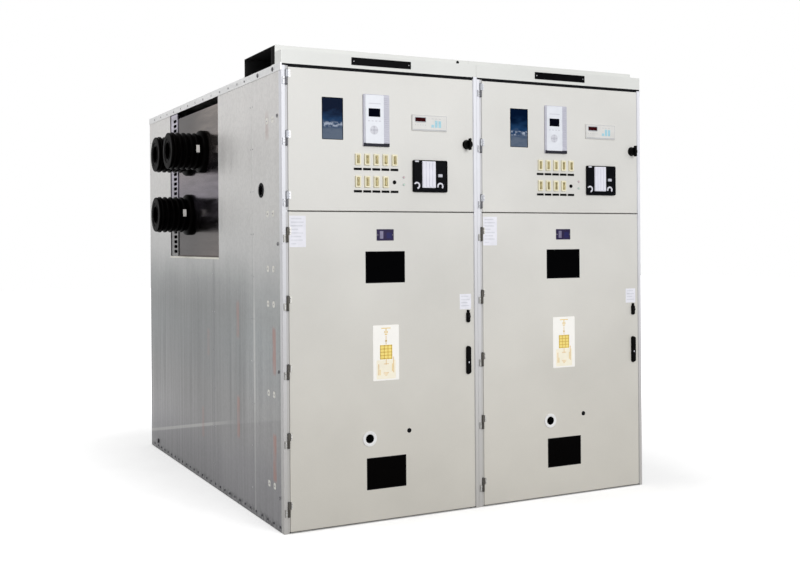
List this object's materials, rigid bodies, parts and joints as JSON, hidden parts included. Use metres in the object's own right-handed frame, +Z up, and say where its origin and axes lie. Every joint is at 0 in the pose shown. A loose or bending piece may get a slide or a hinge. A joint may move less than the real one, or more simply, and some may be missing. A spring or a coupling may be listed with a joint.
{
  "type": "metal-clad switchgear",
  "caption": "Medium-voltage metal-clad switchgear cubicles side by side, with hinged instrument and breaker doors, busbar bushings in the left side and a wiring trunk on the roof.",
  "frame": {"origin": "centre of the footprint, on the floor, which is also the centre of the floor anchor pattern", "axes": "+Z up, -Y towards the doors, +X to the right when facing the doors"},
  "size_m": [2.627, 2.9, 2.6],
  "materials": {
    "base_paint": "dark grey paint, matt",
    "frame_paint": "light grey powder coat, satin",
    "door_paint": "light grey powder coat, satin",
    "header_paint": "off-white powder coat, satin",
    "side_sheet": "aluminium-zinc coated sheet, fine vertical grain and spangle",
    "edge_sheet": "aluminium-zinc coated sheet, bright",
    "inner_sheet": "aluminium-zinc coated sheet, plain",
    "bushing_plate_sheet": "non-magnetic stainless sheet, mill finish",
    "hinge_steel": "zinc plated, worn",
    "trunk_black": "black paint, matt",
    "plate_black": "black engraving plate, blank",
    "epoxy_black": "glossy cast epoxy, nearly black",
    "rubber_black": "matt rubber",
    "window_glass": "clear pane over a dark compartment",
    "viewing_glass": "dark tinted pane",
    "relay_case": "pale grey moulded case",
    "display_case": "pale membrane panel",
    "link_cream": "cream moulded plastic",
    "test_block_case": "black moulded case",
    "handle_black": "black moulded plastic over metal",
    "lock_black": "black",
    "mimic_card": "off-white printed plate",
    "ring_white": "white moulded ring"
  },
  "bodies": {
    "cabinet": {"base_frames": "base_paint", "corner_posts": "frame_paint", "frame_rails": "frame_paint", "frame_hinges": "hinge_steel", "dividing_walls": "inner_sheet", "rear_covers": "side_sheet", "roof_panels": "side_sheet", "roof_edge_angles": "edge_sheet", "instrument_compartments": "inner_sheet", "breaker_back_walls": "inner_sheet", "header_lower_fascias": "header_paint", "header_upper_fascias": "header_paint", "wiring_trunk": "trunk_black", "name_plates": "plate_black", "bushing_plate": "bushing_plate_sheet", "perforated_post": "edge_sheet", "busbar_bushings": "epoxy_black", "cable_grommet": "rubber_black", "left_front_panel": "side_sheet", "left_middle_panel": "side_sheet", "left_rear_panel": "side_sheet", "right_side_panels": "side_sheet"},
    "left_upper_door": {"left_upper_door": "door_paint", "left_upper_hinges": "hinge_steel", "left_instrument_window": "window_glass", "left_relay": "relay_case", "left_status_display": "display_case", "left_link_plates": "link_cream", "left_test_block": "test_block_case"},
    "left_lower_door": {"left_lower_door": "door_paint", "left_lower_hinges": "hinge_steel", "left_viewing_windows": "viewing_glass", "left_mimic_panel": "mimic_card", "left_crank_ring": "ring_white", "left_lock_set": "lock_black"},
    "left_latch_knob": {"left_latch_knob": "handle_black"},
    "left_lever_handle": {"left_lever_handle": "handle_black"},
    "right_upper_door": {"right_upper_door": "door_paint", "right_upper_hinges": "hinge_steel", "right_instrument_window": "window_glass", "right_relay": "relay_case", "right_status_display": "display_case", "right_link_plates": "link_cream", "right_test_block": "test_block_case"},
    "right_lower_door": {"right_lower_door": "door_paint", "right_lower_hinges": "hinge_steel", "right_viewing_windows": "viewing_glass", "right_mimic_panel": "mimic_card", "right_crank_ring": "ring_white", "right_lock_set": "lock_black"},
    "right_latch_knob": {"right_latch_knob": "handle_black"},
    "right_lever_handle": {"right_lever_handle": "handle_black"}
  },
  "joints": [
    {"name": "left_upper_door_hinge", "type": "hinge", "parent": "cabinet", "child": "left_upper_door", "pos_m": [-1.172, -1.429, 2.1], "axis": [0, 0, -1], "range_deg": [0, 100]},
    {"name": "left_lower_door_hinge", "type": "hinge", "parent": "cabinet", "child": "left_lower_door", "pos_m": [-1.172, -1.429, 0.85], "axis": [0, 0, -1], "range_deg": [0, 100]},
    {"name": "left_latch_turn", "type": "hinge", "parent": "left_upper_door", "child": "left_latch_knob", "pos_m": [-0.068, -1.425, 2.098], "axis": [0, 1, 0], "range_deg": [0, 90]},
    {"name": "left_lever_turn", "type": "hinge", "parent": "left_lower_door", "child": "left_lever_handle", "pos_m": [-0.068, -1.425, 0.926], "axis": [0, 1, 0], "range_deg": [0, 90]},
    {"name": "right_upper_door_hinge", "type": "hinge", "parent": "cabinet", "child": "right_upper_door", "pos_m": [0.028, -1.429, 2.1], "axis": [0, 0, -1], "range_deg": [0, 100]},
    {"name": "right_lower_door_hinge", "type": "hinge", "parent": "cabinet", "child": "right_lower_door", "pos_m": [0.028, -1.429, 0.85], "axis": [0, 0, -1], "range_deg": [0, 100]},
    {"name": "right_latch_turn", "type": "hinge", "parent": "right_upper_door", "child": "right_latch_knob", "pos_m": [1.132, -1.425, 2.098], "axis": [0, 1, 0], "range_deg": [0, 90]},
    {"name": "right_lever_turn", "type": "hinge", "parent": "right_lower_door", "child": "right_lever_handle", "pos_m": [1.132, -1.425, 0.926], "axis": [0, 1, 0], "range_deg": [0, 90]}
  ]
}
